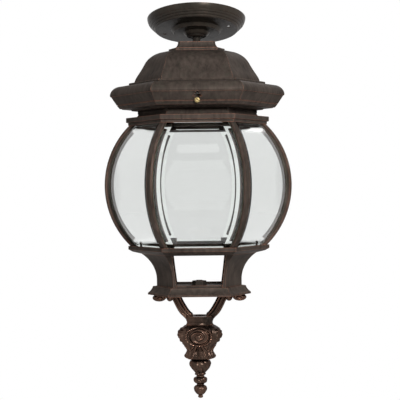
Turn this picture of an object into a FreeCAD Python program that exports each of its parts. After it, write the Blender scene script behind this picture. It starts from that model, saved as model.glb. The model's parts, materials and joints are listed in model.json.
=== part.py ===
import FreeCAD, Part
import math
import os
import re
import Sketcher

# A porch ceiling lantern: a tilted ceiling pan, a ball swivel, a hexagonal roof, a cage of six ribs
# and six bent panes, an open base, two scroll arms and a turned finial. Millimetres, +Z up.
# The origin is the centre of the swivel ball, which is also the centre of the two fixing holes.
# The front looks along -Y. A "side" is the distance from the axis to a corner of a hexagon at +X.

doc = FreeCAD.newDocument("PorchLantern")

sizes = {
    # ceiling pan
    "canopyTilt": 12, "canopySide": 65.4, "canopyDrop": 14.2, "canopyBand": 7.2, "canopyInset": 2.6,
    "canopyFace": 54.5, "canopySheet": 1.2, "bossSide": 31.6, "bossDrop": 4, "bossSlope": 2.5,
    "fixingCircle": 88.9, "fixingHole": 5, "fixingTurn": 17.8,
    # swivel and feed tube
    "ballRadius": 13, "ballCrown": 5, "ballFoot": 10.5, "washerWall": 1.3, "runFit": 0.06,
    "seatMouth": 12.1, "seatRim": 4, "stemRadius": 5, "boreFit": 0.05,
    "nutCorner": 9.2, "nutTall": 5, "stemFoot": 53,
    # neck and plinth
    "neckDrop": 17.9, "neckTall": 8.4, "neckHalfWide": 24.5, "neckHalfDeep": 18.4, "neckFlareWide": 3.6,
    "neckFlareDeep": 3, "neckCant": 3, "neckLip": 1.6,
    "plinthTall": 3.4, "plinthSide": 37.2, "plinthFront": 27, "plinthHalfDeep": 23.6,
    # dome
    "roofWall": 3, "domeTopSide": 44, "domeTall": 40.9, "domeRound": 33.5, "domeStart": 5, "domeEnd": 66,
    "domeSwell": 0.8, "domeFootSide": 83.5, "domeFaceBase": 12, "domeFaceShare": 0.405,
    "beadSide": 90.8, "beadTall": 3.4, "beadRound": 1, "stemHole": 12, "roofWasherSide": 19, "roofWasherTall": 2,
    # skirt
    "skirtTopSide": 105, "skirtSide": 116.2, "ovoloTall": 12.9, "ovoloRound": 13.2, "ovoloRise": 1.4,
    "arrisTall": 2.1, "arrisStep": 0.9, "fasciaStep": 0.5, "fasciaTall": 13.1, "skirtFootSide": 107.2, "skirtWall": 3.2, "skirtThicken": 1.25,
    "skirtBore": 79, "notchHalfWide": 6.2, "notchTop": 1.4, "notchTall": 6.8, "thumbFit": 0.25,
    # crown
    "seamGap": 0.3, "spigotTall": 8, "spigotFit": 0.6, "spigotWall": 2.8, "flangeTall": 5.6,
    "flangeFootSide": 103, "soffitSide": 88.7, "soffitStep": 2.1, "scotiaTall": 11.1,
    "waistSide": 77.8, "waistDrop": 4.4, "crownFootSide": 81.8, "crownWall": 3,
    # cage
    "topRingTall": 10.1, "topRingSide": 95, "topRingBand": 6, "topRingFootSide": 92.3,
    "topRingBore": 72, "ringLand": 83, "ringWeb": 3, "cageTall": 159.8,
    "ribEndSide": 90.8, "ribMidSide": 124.2, "ribFace": 9, "ribFlange": 3, "ribDepth": 8, "ribStem": 3.4,
    "ribFinDepth": 14, "ribFinFlange": 3.8, "ribFinGap": 9, "ribBevel": 1.4, "glassSet": 2.5, "glassThick": 4, "glassFit": 0.35,
    "glassRingDrop": 2.4, "glassRingTall": 2.9, "glassRingSide": 80, "glassRingBore": 73,
    "lugWide": 15, "lugThick": 4, "clipTall": 6, "clipThick": 2.4, "seatGap": 0.2,
    "lowerRingTall": 10.3, "lowerRingSide": 93.8, "lowerRingBand": 4.6, "lowerRingFootSide": 76.7,
    "lowerRingBore": 58, "lowerRingLand": 83,
    # base
    "baseStretch": 12, "baseTall": 43.3, "baseTopSide": 76.5, "baseFootSide": 56.4, "baseRound": 44,
    "baseStraight": 7.5, "baseWall": 3, "windowTop": 35.2, "windowFoot": 29.6,
    "trayTall": 11.2, "trayTopSide": 61.8, "traySide": 68.5, "trayLip": 2.4, "trayRound": 16,
    "trayInner": 36, "trayPlate": 5.2, "sillTall": 2.5, "sillWall": 2.2,
    "trayNutCorner": 9.5, "trayNutTall": 5.4, "trayNutWasher": 10.5, "trayNutWasherTall": 1.2,
    "trayBoltRadius": 4,
    # arms, hub and finial
    "armTall": 28.8, "armWide": 13, "armTopInner": 28.5, "armInnerRound": 85,
    "armHeelRound": 19, "armNeckRound": 28, "voluteEnd": 63.7, "voluteTall": 9.2,
    "eyeSide": 52.8, "eyeDrop": 4.4, "eyeRadius": 3.4, "eyeProud": 1.6, "fluteDeep": 1.1,
    "hubTall": 11.5, "hubSide": 18.3, "hubWaist": 17.2, "hubDish": 2, "rodRadius": 3, "rodEnd": 8,
    "urnTall": 47, "urnSide": 29.5, "urnBulgeDrop": 15, "urnShoulder": 15.8, "urnWaist": 17.7, "urnWaistDrop": 34.5,
    "urnLeafSide": 19.5, "urnFoot": 12, "rosetteRadius": 11.5, "rosetteProud": 1.4, "rosetteRise": 2.6,
    "bulbTall": 20.5, "bulbSide": 14.5, "bulbDrop": 6.3, "collarSide": 6.9, "collarTall": 2.4,
    "ballTall": 12.6, "beadRadius": 9, "ballNeck": 5.2,
    "tipTall": 18, "tipSide": 8.8, "tipDrop": 5.2, "tipNeck": 4.4, "tipLip": 3.3,
    # lampholder
    "bracketHalfLong": 34, "bracketHalfWide": 8, "bracketSheet": 2, "bracketLevel": 46,
    "holderTop": 55, "holderTall": 45, "holderFlange": 20.4, "holderFlangeTall": 7, "holderSide": 18,
    "holderBore": 13.6, "holderBoreTall": 32, "shellWall": 0.5, "shellFit": 0.2, "shellTall": 26,
    "contactRadius": 4, "contactTall": 1.5, "holderScrewRadius": 2, "holderScrewSpread": 13,
    "screwHeadRadius": 3.6, "screwHeadTall": 2.4, "terminalLong": 12, "terminalWide": 14,
    "terminalTall": 8, "terminalPlace": 27.5,
    # fixings
    "thumbShank": 2, "thumbCollar": 2.7, "thumbHead": 3.6, "thumbHeadLong": 3.6,
    "crownScrewRadius": 2.3, "crownScrewTall": 1.4, "crownScrewShank": 1.2, "crownScrewLong": 8,
}

# Levels follow from the heights, from the neck down to the finial's tip.
levels = {
    "neckTop": "-neckDrop",
    "plinthTop": "neckTop - neckTall",
    "roofTop": "plinthTop - plinthTall",
    "shoulderSide": "domeTopSide + domeRound * (sin(domeEnd * 1 deg) - sin(domeStart * 1 deg))",
    "shoulder": "roofTop - domeRound * (cos(domeStart * 1 deg) - cos(domeEnd * 1 deg))",
    "roofFoot": "roofTop - domeTall",
    "skirtTop": "roofFoot - beadTall",
    "arris": "skirtTop - ovoloTall",
    "seam": "arris - fasciaTall",
    "flangeTop": "seam - seamGap",
    "flangeFoot": "flangeTop - flangeTall",
    "crownFoot": "flangeFoot - scotiaTall",
    "topRingFoot": "crownFoot - topRingTall",
    "cageMiddle": "topRingFoot - cageTall / 2",
    "lowerRingTop": "topRingFoot - cageTall",
    "lowerRingFoot": "lowerRingTop - lowerRingTall",
    "deck": "lowerRingFoot - baseTall",
    "trayFoot": "deck - trayTall",
    "hubTop": "trayFoot - armTall",
    "urnTop": "hubTop - hubTall",
    "bulbTop": "urnTop - urnTall",
    "ballTop": "bulbTop - bulbTall",
    "tipTop": "ballTop - ballTall",
    "tipEnd": "tipTop - tipTall",
    "skirtInnerFoot": "skirtFootSide - skirtWall / cos(30)",
    "skirtInnerTop": "skirtSide - (fasciaStep + arrisStep + skirtWall * skirtThicken) / cos(30)",
    "spigotSide": "min(skirtInnerFoot; skirtInnerTop) - spigotFit / cos(30)",
    "ribBulge": "ribMidSide - ribEndSide",
    "ribRound": "((cageTall / 2) ^ 2 + ribBulge ^ 2) / (2 * ribBulge)",
    "glassEnd": "(ribMidSide - ribRound + sqrt((ribRound - glassSet) ^ 2 - (cageTall / 2) ^ 2)) * cos(30)",
    "glassMid": "(ribMidSide - glassSet) * cos(30)",
    "glassBulge": "glassMid - glassEnd",
    "glassRound": "((cageTall / 2) ^ 2 + glassBulge ^ 2) / (2 * glassBulge)",
    "glassCentre": "glassMid - glassRound",
    "glassInner": "glassCentre + sqrt((glassRound - glassThick) ^ 2 - (cageTall / 2) ^ 2)",
    "cornerSeat": "(glassInner - seatGap - lugWide / 2 * sin(30)) / cos(30)",
    "holderFoot": "-(holderTop + holderTall)",
    "washerOuter": "ballRadius + runFit + washerWall",
    "seatInner": "washerOuter + runFit",
}


def addSheet(name, rows, formula):
    sheet = doc.addObject("Spreadsheet::Sheet", name)
    for row, (alias, value) in enumerate(rows.items(), 1):
        sheet.set(f"A{row}", alias)
        sheet.set(f"B{row}", "=" + bind(value, False) if formula else str(value))
        sheet.setAlias(f"B{row}", alias)
    doc.recompute()
    return sheet


def bind(text, outside=True):
    """Turn the names in an expression into references to the two sheets."""
    def reference(match):
        name = match.group()
        if name in sizes:
            return "Sizes." + name
        if name in levels and outside:
            return "Levels." + name
        return name
    return re.sub(r"[A-Za-z]\w*", reference, str(text))


addSheet("Sizes", sizes, False)
levelSheet = addSheet("Levels", levels, True)


def number(text):
    return float(levelSheet.evalExpression(bind(text)))


def flat(side, stretch="0"):
    """Distance from the axis to the front face of a hexagon with this side."""
    return f"(({side}) - ({stretch})) * cos(30)"


def newBody(label):
    body = doc.addObject("PartDesign::Body", label)
    body.Label = label
    return body


def newSketch(body, role, name, lift=None):
    sketch = body.newObject("Sketcher::SketchObject", name)
    plane = [feature for feature in body.Origin.OriginFeatures if feature.Role == role][0]
    sketch.AttachmentSupport = [(plane, "")]
    sketch.MapMode = "FlatFace"
    if lift is not None:
        sketch.setExpression("AttachmentOffset.Base.z", bind(lift))
    return sketch


def pin(sketch, kind, places, value, text):
    """Add a dimension whose value is bound to the sheets."""
    index = sketch.addConstraint(Sketcher.Constraint(kind, *places, value))
    sketch.setExpression(f"Constraints[{index}]", bind(text))


def outline(sketch, steps):
    """Draw a closed outline. A step is (x, y), or (x, y, radius, side) for an arc that ends there
    and bulges to the left (1) or the right (-1) of the way that the outline runs."""
    corners = [FreeCAD.Vector(number(step[0]), number(step[1]), 0) for step in steps]
    ends = []
    for place, step in enumerate(steps):
        start = corners[place - 1]
        end = corners[place]
        if len(step) == 2:
            edge = sketch.addGeometry(Part.LineSegment(start, end), False)
        else:
            radius = number(step[2])
            chord = end - start
            rise = radius - math.sqrt(radius ** 2 - (chord.Length / 2) ** 2)
            left = FreeCAD.Vector(-chord.y, chord.x, 0).normalize()
            middle = (start + end) * 0.5 + left * (rise * step[3])
            edge = sketch.addGeometry(Part.Arc(start, middle, end), False)
            pin(sketch, "Radius", (edge,), radius, step[2])
        gap = (sketch.getPoint(edge, 1) - start).Length - (sketch.getPoint(edge, 2) - start).Length
        ends.append((edge, 1, 2) if gap < 0 else (edge, 2, 1))
    for place, (edge, first, last) in enumerate(ends):
        following = ends[(place + 1) % len(ends)]
        sketch.addConstraint(Sketcher.Constraint("Coincident", edge, last, following[0], following[1]))
        pin(sketch, "DistanceX", (-1, 1, edge, last), corners[place].x, steps[place][0])
        pin(sketch, "DistanceY", (-1, 1, edge, last), corners[place].y, steps[place][1])
    return sketch


def circle(sketch, x, y, radius):
    centre = FreeCAD.Vector(number(x), number(y), 0)
    edge = sketch.addGeometry(Part.Circle(centre, FreeCAD.Vector(0, 0, 1), number(radius)), False)
    pin(sketch, "Radius", (edge,), number(radius), radius)
    pin(sketch, "DistanceX", (-1, 1, edge, 3), centre.x, x)
    pin(sketch, "DistanceY", (-1, 1, edge, 3), centre.y, y)
    return sketch


def rectangle(sketch, left, low, right, high):
    return outline(sketch, [(left, low), (right, low), (right, high), (left, high)])


def hexagon(sketch, side, stretch="0"):
    """The path of a mitred moulding. It starts in the middle of the back face."""
    back = flat(side, stretch)
    half = f"(({side}) + ({stretch})) / 2"
    return outline(sketch, [
        ("0", back), (f"-{half}", back), (f"-({side})", "0"), (f"-{half}", f"-{back}"),
        (half, f"-{back}"), (side, "0"), (half, back)])


def extrude(body, sketch, length, kind="Pad", midplane=False, flip=False):
    feature = body.newObject("PartDesign::" + kind, sketch.Name + kind)
    feature.Profile = sketch
    feature.setExpression("Length", bind(length))
    feature.Midplane = midplane
    feature.Reversed = flip
    return feature


def revolve(body, sketch, kind="Revolution"):
    feature = body.newObject("PartDesign::" + kind, sketch.Name + kind)
    feature.Profile = sketch
    feature.ReferenceAxis = (sketch, ["V_Axis"])
    feature.Angle = 360
    return feature


def turned(label, steps):
    """A round piece: its half profile turned about the Z axis."""
    body = newBody(label)
    sketch = outline(newSketch(body, "XZ_Plane", label + "Profile"), steps)
    revolve(body, sketch)
    return body


def moulding(label, side, stretch, steps):
    """A hexagonal piece: its section carried round a hexagon with mitred corners."""
    body = newBody(label)
    path = hexagon(newSketch(body, "XY_Plane", label + "Path"), side, stretch)
    section = outline(newSketch(body, "YZ_Plane", label + "Section"), steps)
    sweep = body.newObject("PartDesign::AdditivePipe", label + "Sweep")
    sweep.Profile = section
    sweep.Spine = (path, [f"Edge{edge}" for edge in range(1, 8)])
    sweep.Transition = "Right corner"
    return body


def bore(label, body, radius, low, high, places, axis=(0, 0, 1)):
    """Straight round holes through a body, cut as one tool set."""
    tools = [rod(f"{label}Drill{index}", place, radius, low, high, axis) for index, place in enumerate(places)]
    tool = tools[0]
    if len(tools) > 1:
        tool = doc.addObject("Part::MultiFuse", label + "Drills")
        tool.Shapes = tools
    cut = doc.addObject("Part::Cut", label)
    cut.Base = body
    cut.Tool = tool
    return cut


def rod(name, place, radius, low, high, axis=(0, 0, 1)):
    """A round bar along an axis through a place, from low to high along it."""
    bar = doc.addObject("Part::Cylinder", name)
    bar.setExpression("Radius", bind(radius))
    bar.setExpression("Height", bind(f"({high}) - ({low})"))
    bar.Placement.Rotation = FreeCAD.Rotation(FreeCAD.Vector(0, 0, 1), FreeCAD.Vector(*axis))
    for name, start, part in zip("xyz", place, axis):
        bar.setExpression("Placement.Base." + name, bind(f"({start}) + ({low}) * ({part})"))
    return bar


def group(label, members):
    """Identical pieces that share one node as separate solids."""
    compound = doc.addObject("Part::Compound", label)
    compound.Links = members
    return compound


def raise_(body, level):
    body.setExpression("Placement.Base.z", bind(level))
    return body


pieces = []


def keep(piece, label):
    piece.Label = label
    pieces.append(piece)
    return piece


faceTurns = [-90 + 60 * face for face in range(6)]      # the six faces, the first one in front
cornerTurns = [-60 + 60 * corner for corner in range(6)]  # the six corners


# ---- ceiling pan --------------------------------------------------------------------------------
def makeCanopy():
    body = newBody("canopyPan")
    under = "-canopySheet"
    steps = [("canopySide - canopySheet", "canopyDrop"), ("canopySide", "canopyDrop"),
             ("canopySide - canopyInset", "canopyDrop - canopyBand", "15", 1)]
    ridges = 3
    for ridge in range(ridges):
        # Each ridge steps in a little, then bulges down to the next.
        share = f"(canopySide - canopyInset - canopyFace) / {ridges}"
        fall = f"(canopyDrop - canopyBand + canopySheet) / {ridges}"
        steps.append((f"canopySide - canopyInset - {ridge} * {share} - 0.9",
                      f"canopyDrop - canopyBand - {ridge} * {fall} - 0.1"))
        steps.append((f"canopySide - canopyInset - {ridge + 1} * {share}",
                      f"canopyDrop - canopyBand - {ridge + 1} * {fall}", "4", 1))
    steps += [
        ("bossSide + bossSlope", under),
        ("bossSide - bossSlope / 2", f"{under} - bossDrop"),
        ("seatInner + 3", f"{under} - bossDrop"),
        ("seatMouth + canopySheet", "-sqrt(seatInner ^ 2 - seatMouth ^ 2) - 1", "16", 1),
        ("seatMouth", "-sqrt(seatInner ^ 2 - seatMouth ^ 2)"),
        ("sqrt(seatInner ^ 2 - seatRim ^ 2)", "-seatRim", "seatInner", -1),
        ("seatInner + 2.4", "-bossDrop"),
        ("bossSide - bossSlope / 2 - 0.5", "-bossDrop"),
        ("bossSide + bossSlope - 0.5", "0"),
        ("canopyFace - 1", "0"),
        ("canopySide - canopyInset - 2.6", "canopyDrop - canopyBand"),
    ]
    revolve(body, outline(newSketch(body, "XZ_Plane", "canopyPanProfile"), steps))
    reach = "fixingCircle / 2"
    places = [(f"{sign} * {reach} * cos(fixingTurn)", f"{-sign} * {reach} * sin(fixingTurn)", "0")
              for sign in (1, -1)]
    pan = bore("canopyDrilled", body, "fixingHole / 2", "-4", "4", places)
    pan.Placement.Rotation = FreeCAD.Rotation(FreeCAD.Vector(1, 0, 0), 0)
    pan.setExpression("Placement.Rotation.Angle", bind("-canopyTilt"))
    keep(pan, "canopy")


# ---- swivel -------------------------------------------------------------------------------------
def makeSwivel():
    inner = "ballRadius + runFit"
    body = newBody("swivelWasher")
    steps = [
        (f"({inner}) * sin(50)", f"-({inner}) * cos(50)", inner, 1),
        ("washerOuter * sin(50)", "-washerOuter * cos(50)"),
        ("washerOuter * sin(78)", "-washerOuter * cos(78)", "washerOuter", -1),
        (f"({inner}) * sin(78)", f"-({inner}) * cos(78)"),
    ]
    revolve(body, outline(newSketch(body, "XZ_Plane", "washerProfile"), steps))
    keep(body, "swivel_washer")
    hole = "stemRadius + boreFit"
    keep(turned("swivelBall", [
        (hole, "-ballFoot"),
        ("sqrt(ballRadius ^ 2 - ballFoot ^ 2)", "-ballFoot"),
        ("sqrt(ballRadius ^ 2 - ballCrown ^ 2)", "ballCrown", "ballRadius", -1),
        (hole, "ballCrown"),
    ]), "swivel_ball")
    keep(turned("stemTube", [
        ("stemRadius - 1.2", "-stemFoot"), ("stemRadius", "-stemFoot"),
        ("stemRadius", "ballCrown + nutTall"), ("stemRadius - 1.2", "ballCrown + nutTall")]), "stem")
    nuts = []
    roofNut = "roofTop - roofWall - roofWasherTall - nutTall"
    for place, foot in enumerate(["ballCrown", roofNut, "-bracketLevel", "-bracketLevel - bracketSheet - nutTall"]):
        nuts.append(makeNut(f"stemNut{place}", "nutCorner", "nutTall", foot, hole))
    keep(group("stemNuts", nuts), "stem_nuts")


def makeNut(name, corner, tall, foot, hole):
    blank = doc.addObject("Part::Prism", name + "Blank")
    blank.Polygon = 6
    blank.setExpression("Circumradius", bind(corner))
    blank.setExpression("Height", bind(tall))
    blank.setExpression("Placement.Base.z", bind(foot))
    nut = doc.addObject("Part::Cut", name)
    nut.Base = blank
    nut.Tool = rod(name + "Hole", ("0", "0", "0"), hole, f"{foot} - 1", f"{foot} + {tall} + 1")
    return nut


# ---- neck and roof ------------------------------------------------------------------------------
def cantedBox(sketch, wide, deep, cant):
    return outline(sketch, [
        (f"{wide}", f"{deep} - {cant}"), (f"{wide} - {cant}", f"{deep}"),
        (f"-({wide}) + {cant}", f"{deep}"), (f"-({wide})", f"{deep} - {cant}"),
        (f"-({wide})", f"-({deep}) + {cant}"), (f"-({wide}) + {cant}", f"-({deep})"),
        (f"{wide} - {cant}", f"-({deep})"), (f"{wide}", f"-({deep}) + {cant}")])


def makeNeck():
    body = newBody("neckBlock")
    top = cantedBox(newSketch(body, "XY_Plane", "neckTopPlan", "neckTop"),
                    "neckHalfWide", "neckHalfDeep", "neckCant")
    lip = extrude(body, top, "neckLip", flip=True)
    sections = []
    # The flare is a cove: slow at first, then quick.
    for name, drop, share in (("A", "neckLip", 0), ("B", "neckLip + (neckTall - neckLip) * 0.55", 0.32),
                              ("C", "neckTall", 1)):
        sections.append(cantedBox(newSketch(body, "XY_Plane", "neckPlan" + name, f"neckTop - ({drop})"),
                                  f"(neckHalfWide + {share} * neckFlareWide)",
                                  f"(neckHalfDeep + {share} * neckFlareDeep)", "neckCant"))
    flare = body.newObject("PartDesign::AdditiveLoft", "neckFlare")
    flare.Profile = sections[0]
    flare.Sections = sections[1:]
    neck = bore("neckDrilled", body, "stemRadius + boreFit", "neckTop - neckTall - 1", "neckTop + 1",
                [("0", "0", "0")])
    keep(neck, "neck")
    plinth = newBody("plinthBlock")
    plan = outline(newSketch(plinth, "XY_Plane", "plinthPlan", "roofTop"), [
        ("plinthSide", "0"), ("plinthFront", "plinthHalfDeep"), ("-plinthFront", "plinthHalfDeep"),
        ("-plinthSide", "0"), ("-plinthFront", "-plinthHalfDeep"), ("plinthFront", "-plinthHalfDeep")])
    extrude(plinth, plan, "plinthTall")
    keep(bore("plinthDrilled", plinth, "stemRadius + boreFit", "roofTop - 1", "plinthTop + 1",
              [("0", "0", "0")]), "neck_plinth")


def domePlan(sketch, side, wall):
    """A hexagon whose front and back are wider than its other faces, the more so near the top."""
    face = f"domeFaceBase + domeFaceShare * ({side}) - tan(30) * ({wall})"
    corner = f"({side}) - ({wall}) / cos(30)"
    front = f"tan(60) * (({corner}) - ({face}))"
    return outline(sketch, [
        (corner, "0"), (face, front), (f"-({face})", front), (f"-({corner})", "0"),
        (f"-({face})", f"-({front})"), (face, f"-({front})")])


def loft(body, name, shapes, wall, kind):
    plans = []
    for index, (side, level) in enumerate(shapes):
        plans.append(domePlan(newSketch(body, "XY_Plane", f"{name}Plan{index}", level), side, wall))
    feature = body.newObject("PartDesign::" + kind, name)
    feature.Profile = plans[0]
    feature.Sections = plans[1:]
    return feature


def makeRoof():
    body = newBody("domeShell")
    shapes = []
    # The upper part follows an arc in the hips, the lower part is nearly straight.
    rounds = [f"(domeStart + (domeEnd - domeStart) * {step} / 4)" for step in range(5)]
    for turn in rounds:
        shapes.append((f"domeTopSide + domeRound * (sin({turn} * 1 deg) - sin(domeStart * 1 deg))",
                       f"roofTop - domeRound * (cos(domeStart * 1 deg) - cos({turn} * 1 deg))"))
    shapes.append(("(shoulderSide + domeFootSide) / 2 + domeSwell", "(shoulder + roofFoot) / 2"))
    shapes.append(("domeFootSide", "roofFoot"))
    loft(body, "domeOuter", shapes, "0", "AdditiveLoft")
    bead = [("beadSide - beadRound", "roofFoot"), ("beadSide", "(roofFoot + skirtTop) / 2"),
            ("beadSide - beadRound", "skirtTop")]
    loft(body, "domeBead", bead, "0", "AdditiveLoft")
    hollow = [(side, f"{level} - roofWall * 0.9") for side, level in shapes[1:-1]]
    hollow = [(shapes[0][0], f"{shapes[0][1]} - roofWall")] + hollow
    hollow.append(("domeFootSide", "skirtTop"))
    loft(body, "domeHollow", hollow, "roofWall", "SubtractiveLoft")
    dome = bore("domeDrilled", body, "stemHole", "roofTop - 2 * roofWall", "roofTop + 1", [("0", "0", "0")])
    keep(dome, "roof_dome")
    keep(turned("roofWasher", [
        ("stemRadius + boreFit", "roofTop - roofWall - roofWasherTall"),
        ("roofWasherSide", "roofTop - roofWall - roofWasherTall"),
        ("roofWasherSide", "roofTop - roofWall"), ("stemRadius + boreFit", "roofTop - roofWall")]), "roof_washer")


def makeSkirt():
    body = moulding("skirtShell", "skirtFootSide", "0", [
        (flat("skirtBore"), "skirtTop"),
        (flat("beadSide") + " + 1", "skirtTop"),
        (flat("skirtTopSide"), "skirtTop - ovoloRise"),
        (flat("skirtSide"), "arris", "ovoloRound", 1),
        (flat("skirtSide") + " - fasciaStep", "arris - arrisTall"),
        (flat("skirtSide") + " - fasciaStep - arrisStep", "arris - arrisTall"),
        (flat("skirtFootSide"), "seam"),
        (flat("skirtInnerFoot"), "seam"),
        (flat("skirtInnerTop"), "arris - arrisTall"),
        (flat("skirtTopSide") + " - skirtWall", "skirtTop - ovoloRise - skirtWall", "ovoloRound - 2", -1),
        (flat("skirtBore"), "skirtTop - skirtWall"),
    ])
    # A pointed notch over each thumb screw, with a slot below it that lets the screw drop out.
    slot = "thumbCollar + thumbFit"
    base = "arris - notchTop - notchTall"
    notch = outline(newSketch(body, "XZ_Plane", "notchPlan", flat("spigotSide") + " + spigotFit / 2"), [
        ("0", "arris - notchTop"),
        ("-notchHalfWide", base), (f"-({slot})", base), (f"-({slot})", "seam - 1"),
        (slot, "seam - 1"), (slot, base), ("notchHalfWide", base)])
    cut = extrude(body, notch, "30", "Pocket", flip=True)
    turns = body.newObject("PartDesign::PolarPattern", "notchPattern")
    turns.Originals = [cut]
    turns.Axis = (newSketch(body, "XY_Plane", "notchAxis"), ["N_Axis"])
    turns.Angle = 360
    turns.Occurrences = 3
    body.Tip = turns
    keep(body, "roof_skirt")


def radial(turn):
    return (round(math.cos(math.radians(turn)), 9), round(math.sin(math.radians(turn)), 9), 0)


# ---- lampholder ---------------------------------------------------------------------------------
def makeLampholder():
    web = newBody("bracketStrip")
    plan = rectangle(newSketch(web, "XZ_Plane", "bracketSection"), "-bracketHalfLong",
                     "-bracketLevel - bracketSheet", "bracketHalfLong", "-bracketLevel")
    extrude(web, plan, "2 * bracketHalfWide", midplane=True)
    screws = [(f"{sign} * holderScrewSpread", "0", "0") for sign in (1, -1)]
    drilled = bore("bracketBored", web, "stemRadius + boreFit", "-bracketLevel - 5", "-bracketLevel + 5",
                   [("0", "0", "0")])
    strip = bore("bracketDrilled", drilled, "holderScrewRadius + boreFit", "-bracketLevel - 5",
                 "-bracketLevel + 5", screws + [("-terminalPlace", "0", "0")])
    keep(strip, "lamp_bracket")
    holder = turned("holderBody", [
        ("0", "-holderTop"), ("holderFlange", "-holderTop"),
        ("holderFlange", "-holderTop - holderFlangeTall"),
        ("holderSide", "-holderTop - holderFlangeTall - 4", "6", -1),
        ("holderSide", "holderFoot + 5"), ("holderSide + 1.2", "holderFoot + 4"),
        ("holderSide + 1.2", "holderFoot"), ("holderBore", "holderFoot"),
        ("holderBore", "holderFoot + holderBoreTall"), ("0", "holderFoot + holderBoreTall")])
    keep(bore("holderDrilled", holder, "holderScrewRadius + boreFit", "-holderTop - 6.5", "-holderTop + 2",
              screws), "lampholder")
    shell = "holderBore - shellFit"
    keep(turned("shellTube", [
        (f"{shell} - shellWall", "holderFoot + holderBoreTall - shellTall"),
        (shell, "holderFoot + holderBoreTall - shellTall"),
        (shell, "holderFoot + holderBoreTall"),
        (f"{shell} - shellWall", "holderFoot + holderBoreTall")]), "screw_shell")
    keep(turned("contactDisc", [
        ("0", "holderFoot + holderBoreTall - contactTall"),
        ("contactRadius", "holderFoot + holderBoreTall - contactTall"),
        ("contactRadius", "holderFoot + holderBoreTall"), ("0", "holderFoot + holderBoreTall")]), "centre_contact")
    members = []
    for index, place in enumerate(screws):
        members.append(panScrew(f"holderScrew{index}", place, "-holderTop - 6", "-bracketLevel"))
    keep(group("holderScrews", members), "holder_screws")
    keep(panScrew("earthScrewBody", ("-terminalPlace", "0", "0"), "-bracketLevel - 6", "-bracketLevel"), "earth_screw")
    block = newBody("terminalBody")
    shape = rectangle(newSketch(block, "XZ_Plane", "terminalSection"), "terminalPlace - terminalLong / 2",
                      "-bracketLevel - bracketSheet - terminalTall", "terminalPlace + terminalLong / 2",
                      "-bracketLevel - bracketSheet")
    extrude(block, shape, "terminalWide", midplane=True)
    ways = newSketch(block, "YZ_Plane", "terminalWays", "terminalPlace - terminalLong")
    for way in (-1, 0, 1):
        circle(ways, f"{way} * terminalWide / 3.4", "-bracketLevel - bracketSheet - terminalTall / 2", "1.4")
    extrude(block, ways, "2 * terminalLong", "Pocket", flip=True)
    keep(block, "terminal_block")


def panScrew(name, place, foot, seat):
    screw = doc.addObject("Part::Fuse", name)
    screw.Base = rod(name + "Shank", place, "holderScrewRadius", foot, seat)
    screw.Tool = rod(name + "Head", place, "screwHeadRadius", seat, f"{seat} + screwHeadTall")
    return screw


# ---- cage ---------------------------------------------------------------------------------------
def makeCrown():
    shell = moulding("crownShell", "soffitSide", "0", [
        (flat("spigotSide") + " - spigotWall", "flangeTop + spigotTall"),
        (flat("spigotSide"), "flangeTop + spigotTall"),
        (flat("spigotSide"), "flangeTop"),
        (flat("skirtFootSide") + " - 0.4", "flangeTop"),
        (flat("skirtFootSide") + " - 0.8", "flangeTop - 1.2"),
        (flat("flangeFootSide"), "flangeFoot + 0.9"),
        (flat("flangeFootSide") + " - 3", "flangeFoot", "4", -1),
        (flat("soffitSide"), "flangeFoot"),
        (flat("soffitSide") + " - 1.6", "flangeFoot - soffitStep"),
        (flat("waistSide") + " + 2", "flangeFoot - soffitStep - 0.5"),
        (flat("waistSide"), "flangeFoot - waistDrop", "3", -1),
        (flat("crownFootSide"), "crownFoot", "12", -1),
        (flat("crownFootSide") + " - crownWall * 1.4", "crownFoot"),
        (flat("waistSide") + " - crownWall", "flangeFoot - waistDrop", "15", 1),
        (flat("waistSide") + " - crownWall + 1", "flangeFoot + 0.6"),
        (flat("soffitSide") + " - 1", "flangeFoot + 2.8"),
        (flat("spigotSide") + " - spigotWall", "flangeFoot + 2.8"),
    ])
    reach = (flat("spigotSide") + " - 8", flat("skirtFootSide") + " + 4")
    drills = [rod(f"crownDrill{turn}", ("0", "0", "seam - seamGap / 2"), "thumbShank + boreFit",
                  *reach, radial(turn)) for turn in (-90, 30, 150)]
    middle = ("0", "0", "flangeFoot - waistDrop")
    for turn in cornerTurns:
        drills.append(rod(f"crownFace{turn}", middle, "crownScrewRadius + boreFit", "waistSide",
                          "waistSide + crownScrewTall * 3", radial(turn)))
        drills.append(rod(f"crownHole{turn}", middle, "crownScrewShank + boreFit", "waistSide - crownScrewLong * 2",
                          "waistSide + 1", radial(turn)))
    tool = doc.addObject("Part::MultiFuse", "crownDrills")
    tool.Shapes = drills
    crown = doc.addObject("Part::Cut", "crownCut")
    crown.Base = shell
    crown.Tool = tool
    keep(crown, "crown")
    heads = []
    for turn in cornerTurns:
        # A round head on each corner of the waist, with its shank in the wall.
        screw = doc.addObject("Part::Fuse", f"crownScrew{turn}")
        screw.Base = rod(f"crownHead{turn}", middle, "crownScrewRadius", "waistSide",
                         "waistSide + crownScrewTall", radial(turn))
        screw.Tool = rod(f"crownShank{turn}", middle, "crownScrewShank", "waistSide - crownScrewLong",
                         "waistSide", radial(turn))
        heads.append(screw)
    keep(group("crownScrews", heads), "crown_screws")


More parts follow.
